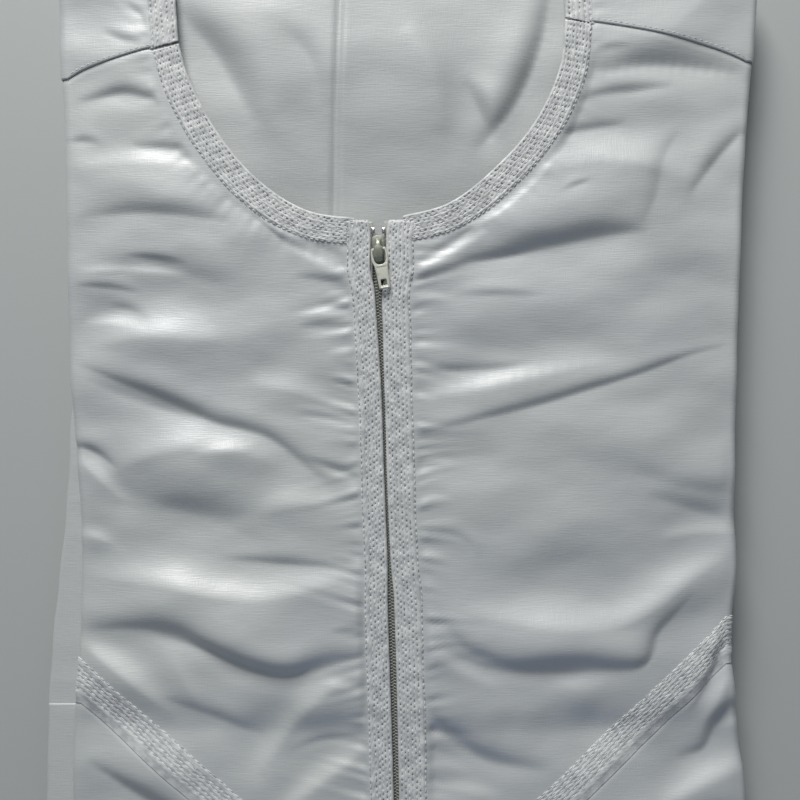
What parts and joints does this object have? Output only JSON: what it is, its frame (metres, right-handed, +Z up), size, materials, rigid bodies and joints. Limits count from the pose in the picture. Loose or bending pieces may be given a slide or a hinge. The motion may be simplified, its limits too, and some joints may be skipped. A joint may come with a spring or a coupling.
{
  "type": "thobe",
  "caption": "White satin-finish thobe with a round topstitched neck, front zip and V-stitched chest, folded for storage and laid flat, front upwards.",
  "frame": {"origin": "middle of the underside of the folded garment, where it rests", "axes": "+Z up, +Y towards the neck, +X to the right as it is seen from above"},
  "size_m": [0.3103, 0.4809, 0.0259],
  "materials": {
    "satin_cloth": "silvery white satin-faced cloth, fine weave, soft broad sheen",
    "stitched_band": "the same cloth over a facing, with close rows of topstitching",
    "zip_tape": "cream woven zip tape",
    "zip_coil": "olive-grey nylon coil",
    "slider_paint": "grey-green painted slider with worn edges",
    "pull_paint": "off-white painted pull with rubbed edges",
    "stop_metal": "bare metal stops"
  },
  "bodies": {
    "garment": {"front_left": "satin_cloth", "front_right": "satin_cloth", "front_lower": "satin_cloth", "back": "satin_cloth", "neck_band_left": "stitched_band", "neck_band_right": "stitched_band", "back_neck_band_left": "stitched_band", "back_neck_band_right": "stitched_band", "placket_left": "stitched_band", "placket_right": "stitched_band", "chest_band_left": "stitched_band", "chest_band_right": "stitched_band", "zip_tape_left": "zip_tape", "zip_tape_right": "zip_tape", "zip_coil": "zip_coil", "zip_slider": "slider_paint", "top_stop_left": "stop_metal", "top_stop_right": "stop_metal", "sleeve_left": "satin_cloth", "cuff_left": "satin_cloth", "folded_layers": "satin_cloth"},
    "pull": {"zip_pull": "pull_paint"}
  },
  "joints": [
    {"name": "pull_swing", "type": "hinge", "parent": "garment", "child": "pull", "pos_m": [-0.00931, 0.1084, 0.0238], "axis": [-0.9854, -0.1702, 0], "range_deg": [0, 170]}
  ]
}
